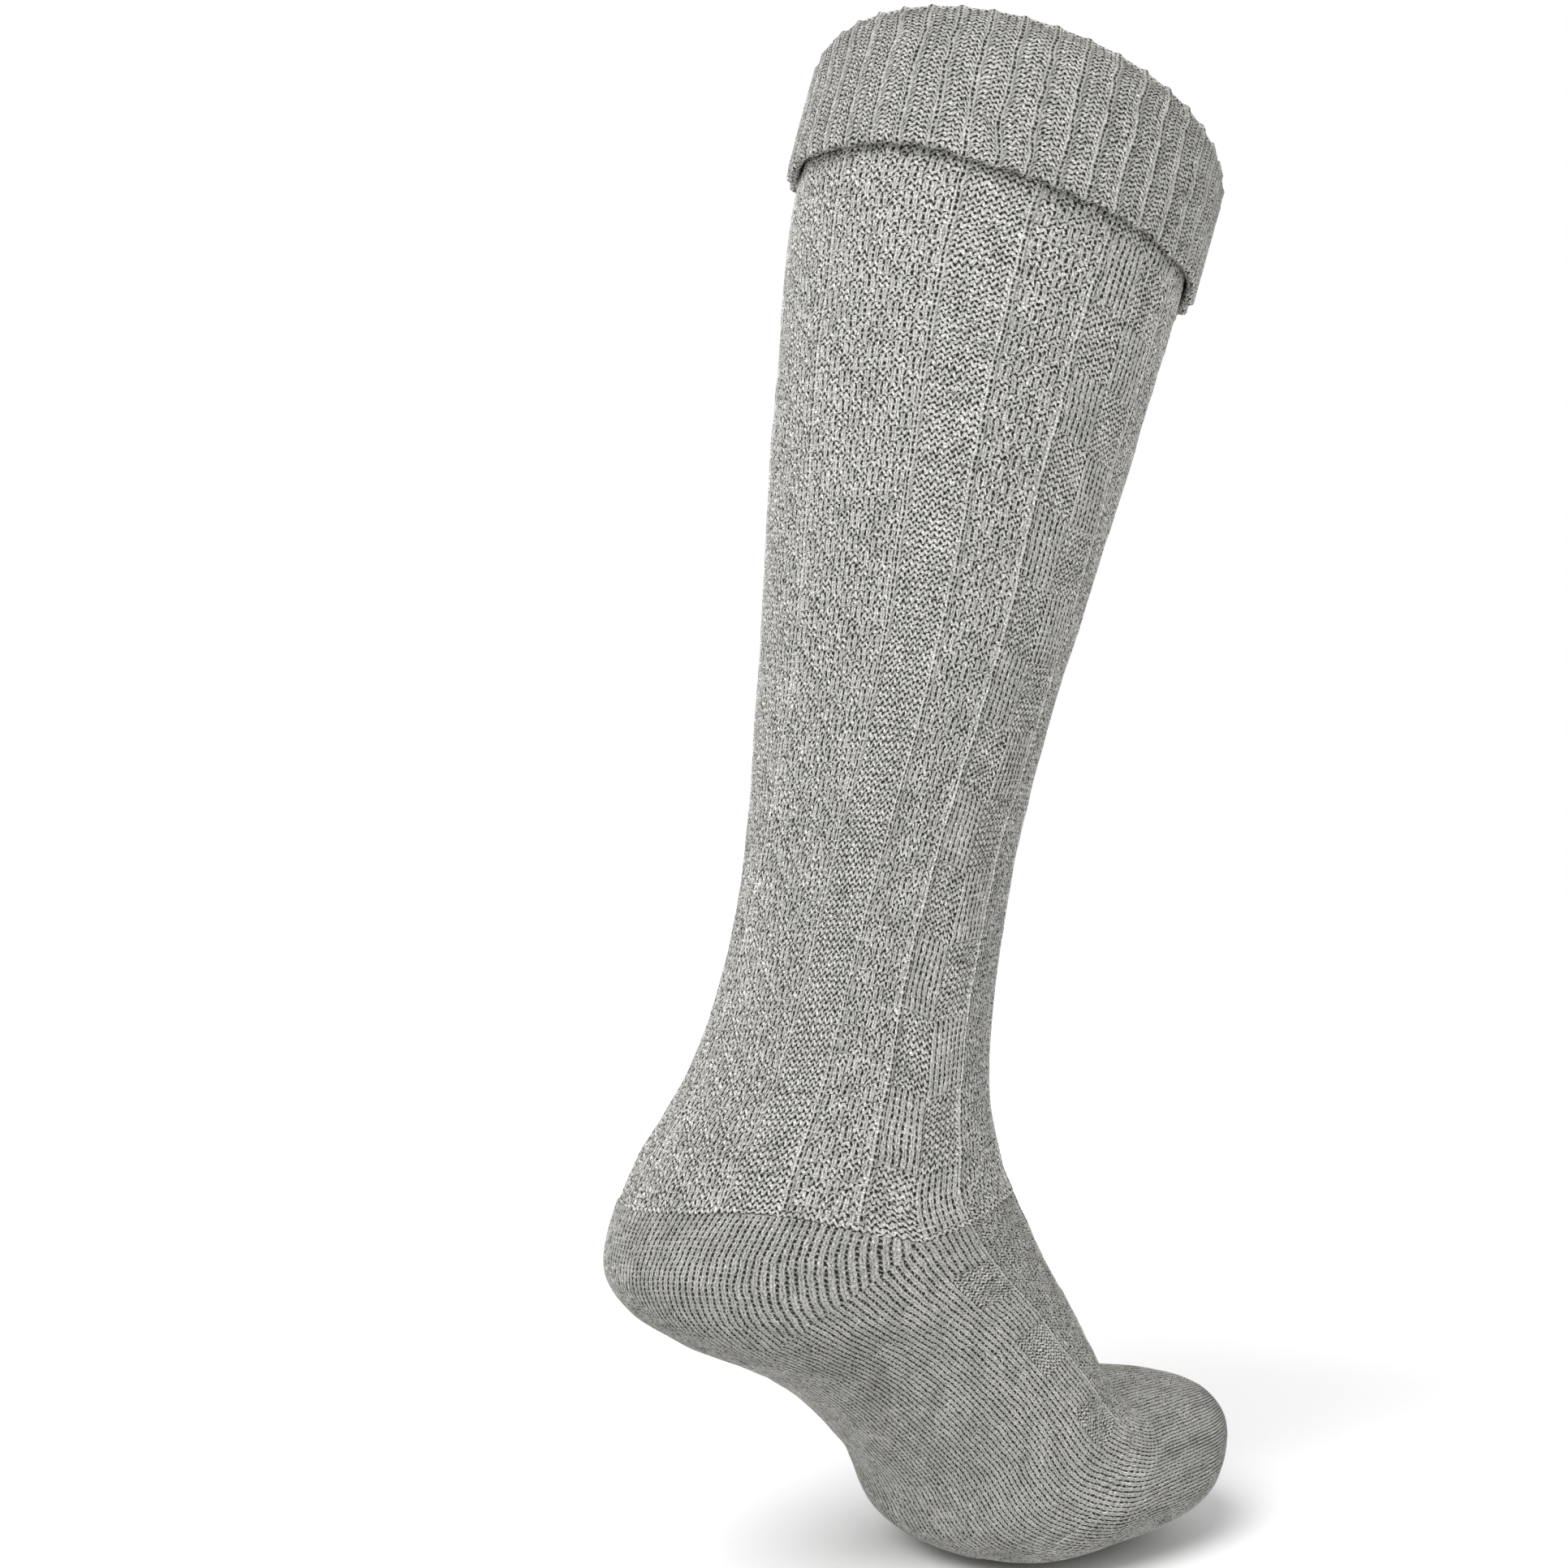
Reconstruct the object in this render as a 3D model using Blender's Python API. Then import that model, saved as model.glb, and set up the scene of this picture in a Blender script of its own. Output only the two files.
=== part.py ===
"""Knitted knee sock with a turned-down cuff, in the form it has when it is worn.

Metres, +Z up. The origin is the middle of the opening that the leg goes in at. The toes and the
shin face -Y and the outer side of the foot faces -X. The heel is raised, as on tiptoe, and the
leg leans forward over the ball of the foot.
"""

import functools
import math

import bmesh
import bpy
import numpy as np

# Leg
LEG_LENGTH = 0.313  # middle of the rim to the middle of the ankle
LEG_LEAN_DEG = 13.8  # forward of upright
CALF_WIDTH = 0.122  # side to side at the rim
CALF_DEPTH = 0.137  # back to front at the rim
ANKLE_WIDTH = 0.0755
ANKLE_DEPTH = 0.0815

# Foot
FOOT_LENGTH = 0.245  # heel to toe along the sole
FOOT_WIDTH = 0.098  # across the ball
INSTEP_HEIGHT = 0.075
HEEL_LIFT_DEG = 38.0  # slope of the sole from the ball up to the heel

# Knit
KNIT_WALL = 0.0022
SEAM_GAP = 0.0003  # between pieces that are knitted on to each other
RELIEF_FADE = 0.004  # length over which the pattern rises from a seam or from under the cuff
LEG_RIB_RAISE = 0.0009
BLOCK_RAISE = 0.0006
BLOCK_LENGTH = 0.0185  # one block of the panel that runs down the side

# Cuff
CUFF_DROP = 0.046  # how far the turned-down edge hangs below the rim
CUFF_WALL = 0.0030
CUFF_CLEARANCE = 0.0006  # between the turned-down layer and the leg inside it
CUFF_FLARE = 0.0016  # how much further out the free edge stands
CUFF_ROLL_DROP = 0.6  # share of CUFF_WALL from the rim down to the middle of the roll
CUFF_EDGE_ROUND = 0.35  # share of CUFF_WALL that the free edge is rounded off by
CUFF_RIB_COUNT = 42
CUFF_RIB_RAISE = 0.0008

# Mesh density
PLAIN_STEP_DEG = 13.0  # widest stretch between two columns
LEG_ROWS_OUTSIDE = 24
LEG_ROWS_INSIDE = 6
HEEL_ROWS = 7
FOOT_ROWS_OUTSIDE = 10
FOOT_ROWS_INSIDE = 5
TOE_ROWS = 8
CUFF_ROLL_TURNS = (0, 50, 110)  # degrees round the roll, from the inside
CUFF_STATIONS = (0.10, 0.55, 0.95)  # shares of the way down the turned-down layer
CUFF_RIB_COLUMNS = [  # share of a rib's width, height as a share of CUFF_RIB_RAISE
    (0.00, 1.00),
    (0.17, 0.00),
    (0.50, 0.35),
    (0.83, 0.00),
]

# The sections, from the rim to the toe. A leg section is placed along the leg and measured in its
# swell from ankle size (0) to calf size (1). Its shift is a share of CALF_DEPTH, forward, and its tilt
# raises the front. The turn is how far the back wale has crept round to the outer side.
LEG_SECTIONS = [
    # name, up the leg, swell of width, swell of depth, shift, tilt deg, squareness, turn deg
    ("rim", 1.00, 1.00, 1.00, 0.000, -5.2, 2.00, 9.0),
    ("calf_top", 0.84, 0.79, 0.96, -0.025, -2.6, 2.00, 8.0),
    ("calf", 0.68, 0.59, 0.72, -0.026, -0.6, 2.05, 6.0),
    ("calf_low", 0.52, 0.39, 0.45, -0.025, -0.4, 2.05, 6.0),
    ("shin", 0.36, 0.19, 0.17, -0.021, -0.2, 2.10, 4.0),
    ("shin_low", 0.217, 0.03, 0.00, -0.010, 0.0, 2.15, -3.0),
    ("above_ankle", 0.091, -0.01, 0.02, 0.003, 0.6, 2.20, -7.0),
    ("ankle", 0.00, 0.00, 0.23, 0.000, 9.1, 2.20, -5.0),
]
# A foot section joins a point of the sole to one of the instep, measured from the ankle along the
# sloping foot in shares of FOOT_LENGTH and square to it in shares of INSTEP_HEIGHT. Width and offset
# are shares of FOOT_WIDTH, the offset towards the outer side.
FOOT_SECTIONS = [
    # name, sole along, sole up, instep along, instep up, width, offset, squareness, turn deg
    ("heel_top", -0.161, -0.800, 0.204, 0.244, 0.75, 0.008, 2.20, 0.0),
    ("heel_back", -0.137, -1.142, 0.245, 0.173, 0.72, 0.016, 2.20, 0.0),
    ("heel_low", -0.081, -1.249, 0.287, 0.113, 0.70, 0.020, 2.20, 0.0),
    ("heel_sole", 0.009, -1.223, 0.339, 0.037, 0.70, 0.018, 2.20, 0.0),
    ("arch", 0.171, -1.108, 0.404, -0.066, 0.73, 0.016, 2.20, 0.0),
    ("waist", 0.336, -1.137, 0.466, -0.176, 0.85, 0.012, 2.20, 0.0),
    ("ball_back", 0.451, -1.250, 0.521, -0.250, 0.94, -0.010, 2.30, 3.0),
]
# A toe section lies level with the floor, measured from the point where the ball meets it.
TOE_SECTIONS = [
    # name, sole along, sole up, instep along, instep up, width, offset, squareness, turn deg
    ("ball", 0.000, 0.000, 0.179, 0.650, 1.01, -0.006, 2.40, 8.0),
    ("toe_root", 0.091, 0.008, 0.215, 0.620, 1.00, -0.006, 2.45, 12.0),
    ("toe_mid", 0.181, 0.018, 0.256, 0.618, 0.94, -0.004, 2.45, 13.0),
    ("toe_end", 0.254, 0.056, 0.308, 0.615, 0.83, 0.004, 2.40, 13.0),
    ("toe_tip", 0.312, 0.140, 0.357, 0.580, 0.61, 0.010, 2.30, 13.0),
    ("toe_close", 0.347, 0.235, 0.374, 0.500, 0.35, 0.010, 2.10, 13.0),
    ("toe_apex", 0.369, 0.367, 0.369, 0.367, 0.00, 0.010, 2.00, 13.0),
]
BALL_ALONG = 0.545  # where the ball meets the floor, from the ankle, in the foot's own shares
BALL_DOWN = 1.160

# The wales of one half, in degrees from the back wale: thin raised ribs, and the side panel's two
# columns of blocks. The other half mirrors them.
RIB_ANGLES = [0.0, 39.0, 60.0, 83.0, 115.0, 148.0]
RIB_HALF_DEG = 2.2
BLOCK_COLUMNS = [(85.8, 98.0), (100.0, 112.2)]

# Seams, in rows of the tables above counted from the rim. The heel is a wedge whose two seams meet
# at an apex on each side of the ankle.
HEEL_APEX_DEG = 98.0
HEEL_APEX_ROW = 9.85
HEEL_TOP_ROW = 8.4
HEEL_SOLE_ROW = 11.45
HEEL_TOP_CURVE = 4.5  # how late the top seam turns down to the apex
HEEL_SOLE_CURVE = 1.6
TOE_SEAM_ROW = 14.5
HEEL_END_SHARE = 0.994  # the heel's blunt end, just short of the apex
SIDE_STEP = 0.1  # rows between the points that the length down the side is measured by
ROW_STEP = 0.01  # rows to either side that a slope is measured over


def clear_scene():
    """Remove every object that the file starts with."""
    for obj in list(bpy.data.objects):
        bpy.data.objects.remove(obj, do_unlink=True)


def turned(along, up, angle):
    """A step along and up in a frame that is pitched down by angle, as forward and up."""
    forward = along * math.cos(angle) + up * math.sin(angle)
    height = -along * math.sin(angle) + up * math.cos(angle)
    return np.array([forward, height])


def section_rows():
    """Every section as back point, front point (forward, up), half width, offset, squareness, turn."""
    lean = math.radians(LEG_LEAN_DEG)
    lift = math.radians(HEEL_LIFT_DEG)
    ankle = -LEG_LENGTH * np.array([math.sin(lean), math.cos(lean)])
    rows = []
    for _, up, wide, deep, shift, tilt, square, turn in LEG_SECTIONS:
        middle = ankle + turned(shift * CALF_DEPTH, up * LEG_LENGTH, lean)
        width = ANKLE_WIDTH + wide * (CALF_WIDTH - ANKLE_WIDTH)
        depth = ANKLE_DEPTH + deep * (CALF_DEPTH - ANKLE_DEPTH)
        reach = turned(depth / 2, 0, lean - math.radians(tilt))
        rows.append([*(middle - reach), *(middle + reach), width / 2, 0.0, square, turn])
    ball = ankle + turned(BALL_ALONG * FOOT_LENGTH, -BALL_DOWN * INSTEP_HEIGHT, lift)
    for sections, start, pitch in ((FOOT_SECTIONS, ankle, lift), (TOE_SECTIONS, ball, 0.0)):
        for _, sole, low, instep, high, wide, offset, square, turn in sections:
            back = start + turned(sole * FOOT_LENGTH, low * INSTEP_HEIGHT, pitch)
            front = start + turned(instep * FOOT_LENGTH, high * INSTEP_HEIGHT, pitch)
            half = wide * FOOT_WIDTH / 2
            rows.append([*back, *front, half, offset * FOOT_WIDTH, square, turn])
    return np.array(rows)


ROWS = section_rows()
LAST_ROW = len(ROWS) - 1


@functools.lru_cache(maxsize=None)
def section_at(row):
    """The section at a fractional row, on a smooth curve through the rows (Catmull-Rom)."""
    row = min(max(row, 0.0), float(LAST_ROW))
    i = min(int(row), LAST_ROW - 1)
    t = row - i
    a, b, c, d = (ROWS[min(max(k, 0), LAST_ROW)] for k in (i - 1, i, i + 1, i + 2))
    cubic = 3 * b - a - 3 * c + d
    square = 2 * a - 5 * b + 4 * c - d
    return 0.5 * (2 * b + (c - a) * t + square * t**2 + cubic * t**3)


def surface_point(degrees, row):
    """Point of the outer surface. Degrees run from the back wale round the outer side."""
    if row < 0:
        edge = surface_point(degrees, 0.0)
        return edge + (edge - surface_point(degrees, ROW_STEP)) * (-row / ROW_STEP)
    section = section_at(row)
    back, front = section[:2], section[2:4]
    half, offset, square, turn = section[4:]
    angle = math.radians(degrees + turn)
    c, s = math.cos(angle), math.sin(angle)
    across = math.copysign(abs(s) ** (2 / square), s)
    along = math.copysign(abs(c) ** (2 / square), c)
    forward, up = (back + front) / 2 + (back - front) / 2 * along
    return np.array([-(offset + half * across), -forward, up])


def surface_normal(degrees, row):
    """Outward normal, from short steps round and down."""
    row = min(row, LAST_ROW - 2 * ROW_STEP)
    round_step = surface_point(degrees + 0.5, row) - surface_point(degrees - 0.5, row)
    down_step = surface_point(degrees, row + ROW_STEP) - surface_point(degrees, row - ROW_STEP)
    normal = np.cross(down_step, round_step)
    return normal / np.linalg.norm(normal)


def raised(degrees, row, height):
    """Point at a height above the outer surface, or inside it where the height is negative."""
    return surface_point(degrees, row) + surface_normal(degrees, row) * height


def row_at_drop(drop):
    """Row that lies this far down the leg from the rim."""
    per_row = (LEG_SECTIONS[0][1] - LEG_SECTIONS[1][1]) * LEG_LENGTH
    return drop / per_row


def rows_apart(degrees, row, distance):
    """Distance down the surface, as a number of rows at that place."""
    step = surface_point(degrees, row + ROW_STEP) - surface_point(degrees, row - ROW_STEP)
    return distance * 2 * ROW_STEP / np.linalg.norm(step)


def fade_from_seams(first, last, row, degrees):
    """Share of the relief that is left near the two seams of a shell, so that its edges lie flat."""
    nearest = min(row - first, last - row) / rows_apart(degrees, row, RELIEF_FADE)
    return max(0.0, min(1.0, nearest))


def heel_top(degrees):
    """Row of the seam between the leg and the heel, and past the apex between the leg and the foot."""
    share = min(abs(degrees) / HEEL_APEX_DEG, 1.0)
    return HEEL_TOP_ROW + (HEEL_APEX_ROW - HEEL_TOP_ROW) * share**HEEL_TOP_CURVE


def heel_bottom(degrees):
    """Row of the seam between the heel and the foot."""
    share = min(abs(degrees) / HEEL_APEX_DEG, 1.0)
    return HEEL_SOLE_ROW - (HEEL_SOLE_ROW - HEEL_APEX_ROW) * share**HEEL_SOLE_CURVE


def half_columns():
    """Mesh columns of one half, closest where a rib or a column of blocks stands up."""
    edge = {0.0, 180.0, HEEL_APEX_DEG, HEEL_END_SHARE * HEEL_APEX_DEG}
    for rib in RIB_ANGLES:
        edge |= {rib, rib + RIB_HALF_DEG, abs(rib - RIB_HALF_DEG)}
    for start, end in BLOCK_COLUMNS:
        edge |= {start, end}
    edge = sorted(edge)
    columns = [edge[0]]
    for before, after in zip(edge, edge[1:]):
        spans = max(1, math.ceil((after - before) / PLAIN_STEP_DEG))
        columns += [before + (after - before) * (k + 1) / spans for k in range(spans)]
    return columns


def body_columns():
    """Mesh columns all the way round, from just past the front round to the front."""
    half = half_columns()
    return [-c for c in reversed(half[1:-1])] + half


def rib_height(degrees):
    """Height of the thin ribs, as a share of their full height."""
    nearest = min(abs(abs(degrees) - rib) for rib in RIB_ANGLES)
    return max(0.0, 1.0 - nearest / RIB_HALF_DEG)


def block_height(degrees, length):
    """Height of the blocks, which stand up by turns in the two columns of the side panel."""
    for number, (start, end) in enumerate(BLOCK_COLUMNS):
        if start <= abs(degrees) <= end:
            phase = math.cos(math.pi * (length / BLOCK_LENGTH + number))
            return max(0.0, min(1.0, 0.5 + 1.5 * phase))
    return 0.0


def side_lengths():
    """Rows, and how far down the side of the sock each lies from the cuff's free edge."""
    rows = np.arange(row_at_drop(CUFF_DROP), TOE_SEAM_ROW + SIDE_STEP, SIDE_STEP)
    points = np.array([surface_point(HEEL_APEX_DEG, row) for row in rows])
    steps = np.linalg.norm(np.diff(points, axis=0), axis=1)
    return rows, np.concatenate([[0.0], np.cumsum(steps)])


def pattern_relief(degrees, length):
    """Height of the pattern this far below the cuff, rising from nothing at the cuff's edge."""
    fade = max(0.0, min(1.0, length / RELIEF_FADE))
    ribs = LEG_RIB_RAISE * rib_height(degrees)
    return fade * max(ribs, BLOCK_RAISE * block_height(degrees, length))


def leg_relief(degrees, row):
    """Height of the leg's pattern, flat where the cuff lies over it."""
    return pattern_relief(degrees, np.interp(row, *SIDE, left=0.0))


def foot_relief(degrees, row):
    """Height of the foot's pattern: the instep goes on with the leg's, and the sole is plain."""
    if abs(degrees) < HEEL_APEX_DEG:
        return 0.0
    return pattern_relief(degrees, np.interp(row, *SIDE))


def plain_relief(degrees, row):
    """No relief."""
    return 0.0


def wall_loop(degrees, first, last, relief, rows_outside, rows_inside):
    """One column of a shell: down its outside from row first to row last, and back up its inside."""
    first += rows_apart(degrees, first, SEAM_GAP / 2)
    if last < LAST_ROW:
        last -= rows_apart(degrees, last, SEAM_GAP / 2)
    loop = []
    for k in range(rows_outside + 1):
        row = first + (last - first) * k / rows_outside
        height = relief(degrees, row) * fade_from_seams(first, last, row, degrees)
        loop.append(raised(degrees, row, height))
    for k in range(rows_inside, -1, -1):
        row = first + (last - first) * k / rows_inside
        loop.append(raised(degrees, row, -KNIT_WALL))
    return loop


def loft(name, loops, closed):
    """Mesh object through closed loops of points, joined in a ring or ended by flat strips."""
    bm = bmesh.new()
    rings = [[bm.verts.new(point) for point in loop] for loop in loops]
    count = len(rings[0])
    pairs = list(zip(rings, rings[1:]))
    if closed:
        pairs.append((rings[-1], rings[0]))
    for left, right in pairs:
        for k in range(count):
            m = (k + 1) % count
            bm.faces.new((left[k], right[k], right[m], left[m]))
    if not closed:
        for ring in (rings[0], rings[-1]):
            for k in range(count // 2 - 1):
                bm.faces.new((ring[k], ring[k + 1], ring[count - 2 - k], ring[count - 1 - k]))
    bmesh.ops.remove_doubles(bm, verts=bm.verts, dist=0.00001)
    bmesh.ops.recalc_face_normals(bm, faces=bm.faces)
    if bm.calc_volume(signed=True) < 0:
        bmesh.ops.reverse_faces(bm, faces=bm.faces)
    mesh = bpy.data.meshes.new(name)
    bm.to_mesh(mesh)
    bm.free()
    mesh.shade_smooth()
    mesh.set_sharp_from_angle(angle=math.radians(50))
    return bpy.data.objects.new(name, mesh)


SIDE = side_lengths()


def make_cuff():
    """The turned-down cuff: over the top of the leg and down its outside, in narrow ribs."""
    bottom = row_at_drop(CUFF_DROP)
    under = row_at_drop(CUFF_WALL)
    outside = CUFF_CLEARANCE + CUFF_WALL
    middle = (outside - KNIT_WALL) / 2
    half = (outside + KNIT_WALL) / 2
    loops = []
    for rib in range(CUFF_RIB_COUNT):
        for share, rise in CUFF_RIB_COLUMNS:
            degrees = (rib + share) * 360.0 / CUFF_RIB_COUNT
            ridge = CUFF_RIB_RAISE * rise
            loop = [raised(degrees, bottom, CUFF_CLEARANCE), raised(degrees, under, CUFF_CLEARANCE)]
            loop.append(raised(degrees, under, -KNIT_WALL))
            for turn in CUFF_ROLL_TURNS:
                angle = math.radians(turn)
                height = middle - half * math.cos(angle)
                row = row_at_drop(CUFF_WALL * (CUFF_ROLL_DROP - math.sin(angle)))
                loop.append(raised(degrees, row, height + ridge * turn / 180))
            for share_down in CUFF_STATIONS:
                height = outside + CUFF_FLARE * share_down**2 + ridge
                loop.append(raised(degrees, bottom * share_down, height))
            height = outside + CUFF_FLARE - CUFF_WALL * CUFF_EDGE_ROUND
            loop.append(raised(degrees, bottom, height))
            loops.append(loop)
    return loft("cuff", loops, closed=True)


def make_leg():
    """The patterned tube from under the cuff to the heel and the instep."""
    top = row_at_drop(CUFF_WALL)
    loops = [
        wall_loop(c, top, heel_top(c), leg_relief, LEG_ROWS_OUTSIDE, LEG_ROWS_INSIDE)
        for c in body_columns()
    ]
    return loft("leg", loops, closed=True)


def make_heel():
    """The plain wedge that turns the heel, from apex to apex round the back."""
    end = HEEL_END_SHARE * HEEL_APEX_DEG
    loops = [
        wall_loop(c, heel_top(c), heel_bottom(c), plain_relief, HEEL_ROWS, HEEL_ROWS)
        for c in body_columns()
        if abs(c) <= end + 0.001
    ]
    return loft("heel", loops, closed=False)


def make_foot():
    """The tube from the heel to the toe: a plain sole, and the leg's pattern over the instep."""
    loops = [
        wall_loop(
            c, heel_bottom(c), TOE_SEAM_ROW, foot_relief, FOOT_ROWS_OUTSIDE, FOOT_ROWS_INSIDE
        )
        for c in body_columns()
    ]
    return loft("foot", loops, closed=True)


def make_toe():
    """The plain rounded cap over the toes, closed at its tip."""
    loops = []
    inside_tip = surface_point(0.0, LAST_ROW) + np.array([0.0, KNIT_WALL, 0.0])
    for c in body_columns():
        loop = wall_loop(c, TOE_SEAM_ROW, LAST_ROW, plain_relief, TOE_ROWS, TOE_ROWS)
        loop[TOE_ROWS] = surface_point(0.0, LAST_ROW)
        loop[TOE_ROWS + 1] = inside_tip
        loops.append(loop)
    return loft("toe", loops, closed=True)


def knit_material(name, colour, roughness):
    """Principled material for one kind of knit, from its colour and roughness."""
    material = bpy.data.materials.new(name)
    material.use_nodes = True
    shader = material.node_tree.nodes["Principled BSDF"]
    shader.inputs["Base Color"].default_value = (*colour, 1.0)
    shader.inputs["Roughness"].default_value = roughness
    shader.inputs["Metallic"].default_value = 0.0
    return material


def main():
    """Build each piece, give it its own material and put it in the sock's collection."""
    clear_scene()
    collection = bpy.data.collections.new("knee_sock")
    bpy.context.scene.collection.children.link(collection)
    pieces = [
        (make_cuff, (0.33, 0.33, 0.33), 0.92),
        (make_leg, (0.30, 0.30, 0.29), 0.92),
        (make_heel, (0.28, 0.28, 0.28), 0.90),
        (make_foot, (0.29, 0.29, 0.29), 0.90),
        (make_toe, (0.28, 0.28, 0.28), 0.90),
    ]
    for make, colour, roughness in pieces:
        piece = make()
        piece.data.materials.append(knit_material(piece.name + "_knit", colour, roughness))
        collection.objects.link(piece)


main()
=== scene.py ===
"""Dresses the knee sock: every piece is knitted again, stitch by stitch, over the sock's own form.

Metres, +Z up. The toes and the shin face -Y, the outer side of the foot faces -X.
"""

import dataclasses
import logging
import math
from dataclasses import dataclass
from enum import Enum
from typing import Callable

import bmesh
import bpy
import numpy as np
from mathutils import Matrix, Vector


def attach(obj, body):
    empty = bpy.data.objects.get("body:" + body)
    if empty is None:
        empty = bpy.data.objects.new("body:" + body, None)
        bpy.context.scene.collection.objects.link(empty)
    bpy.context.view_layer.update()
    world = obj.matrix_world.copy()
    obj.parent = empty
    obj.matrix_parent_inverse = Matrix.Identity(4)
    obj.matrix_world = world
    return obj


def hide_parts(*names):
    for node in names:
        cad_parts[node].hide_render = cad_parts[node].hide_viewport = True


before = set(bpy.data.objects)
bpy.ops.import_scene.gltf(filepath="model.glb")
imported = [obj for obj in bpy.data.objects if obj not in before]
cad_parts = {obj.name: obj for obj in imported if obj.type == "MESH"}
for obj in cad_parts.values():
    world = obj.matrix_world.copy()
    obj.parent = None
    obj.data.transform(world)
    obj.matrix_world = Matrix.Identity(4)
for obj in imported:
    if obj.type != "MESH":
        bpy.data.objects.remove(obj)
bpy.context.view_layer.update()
LOG = logging.getLogger("knee_sock")
MM = 0.001
WELD = 0.002 * MM  # points closer than this are one

# Sections of the sock, as in the solids: shares of the named sizes of SockForm.
LEG_SECTIONS = [
    # up the leg, swell of width, swell of depth, shift, tilt deg, squareness, turn deg
    (1.00, 1.00, 1.00, 0.000, -5.2, 2.00, 9.0),
    (0.84, 0.79, 0.96, -0.025, -2.6, 2.00, 8.0),
    (0.68, 0.59, 0.72, -0.026, -0.6, 2.05, 6.0),
    (0.52, 0.39, 0.45, -0.025, -0.4, 2.05, 6.0),
    (0.36, 0.19, 0.17, -0.021, -0.2, 2.10, 4.0),
    (0.217, 0.03, 0.00, -0.010, 0.0, 2.15, -3.0),
    (0.091, -0.01, 0.02, 0.003, 0.6, 2.20, -7.0),
    (0.00, 0.00, 0.23, 0.000, 9.1, 2.20, -5.0),
]
FOOT_SECTIONS = [
    # sole along, sole up, instep along, instep up, width, offset, squareness, turn deg
    (-0.161, -0.800, 0.204, 0.244, 0.75, 0.008, 2.20, 0.0),
    (-0.137, -1.142, 0.245, 0.173, 0.72, 0.016, 2.20, 0.0),
    (-0.081, -1.249, 0.287, 0.113, 0.70, 0.020, 2.20, 0.0),
    (0.009, -1.223, 0.339, 0.037, 0.70, 0.018, 2.20, 0.0),
    (0.171, -1.108, 0.404, -0.066, 0.73, 0.016, 2.20, 0.0),
    (0.336, -1.137, 0.466, -0.176, 0.85, 0.012, 2.20, 0.0),
    (0.451, -1.250, 0.521, -0.250, 0.94, -0.010, 2.30, 3.0),
]
TOE_SECTIONS = [
    # sole along, sole up, instep along, instep up, width, offset, squareness, turn deg
    (0.000, 0.000, 0.179, 0.650, 1.01, -0.006, 2.40, 8.0),
    (0.091, 0.008, 0.215, 0.620, 1.00, -0.006, 2.45, 12.0),
    (0.181, 0.018, 0.256, 0.618, 0.94, -0.004, 2.45, 13.0),
    (0.254, 0.056, 0.308, 0.615, 0.83, 0.004, 2.40, 13.0),
    (0.312, 0.140, 0.357, 0.580, 0.61, 0.010, 2.30, 13.0),
    (0.347, 0.235, 0.374, 0.500, 0.35, 0.010, 2.10, 13.0),
    (0.369, 0.367, 0.369, 0.367, 0.00, 0.010, 2.00, 13.0),
]


class Stitch(Enum):
    """The stitches that the charts are made of, by the values that the shading reads."""

    PURL = 0.0
    KNIT = 0.5
    RIB = 1.0


class Panel(Enum):
    """How the wales of a panel are worked."""

    RIB = "one knit wale that stands up"
    MOSS = "knit and purl by turns, two wales and two courses at a time"
    PURL = "purl all over"
    BLOCKS = "blocks of knit and of purl by turns"
    BLOCKS_AFTER = "the same blocks, one block later"


WALES = 156  # round the whole sock
BODY_CHART = [
    # first wale from the back one, panel; the other half mirrors it
    (0, Panel.RIB),
    (1, Panel.MOSS),
    (17, Panel.RIB),
    (18, Panel.PURL),
    (26, Panel.RIB),
    (27, Panel.MOSS),
    (36, Panel.RIB),
    (37, Panel.BLOCKS),
    (43, Panel.BLOCKS_AFTER),
    (50, Panel.RIB),
    (51, Panel.MOSS),
    (64, Panel.RIB),
    (65, Panel.PURL),
]
BLOCK_COURSES = 11
LEG_PARTS = (("calf", 0, 54), ("shin", 54, 109), ("ankle", 109, 164))  # first course, and the next part's


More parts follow.
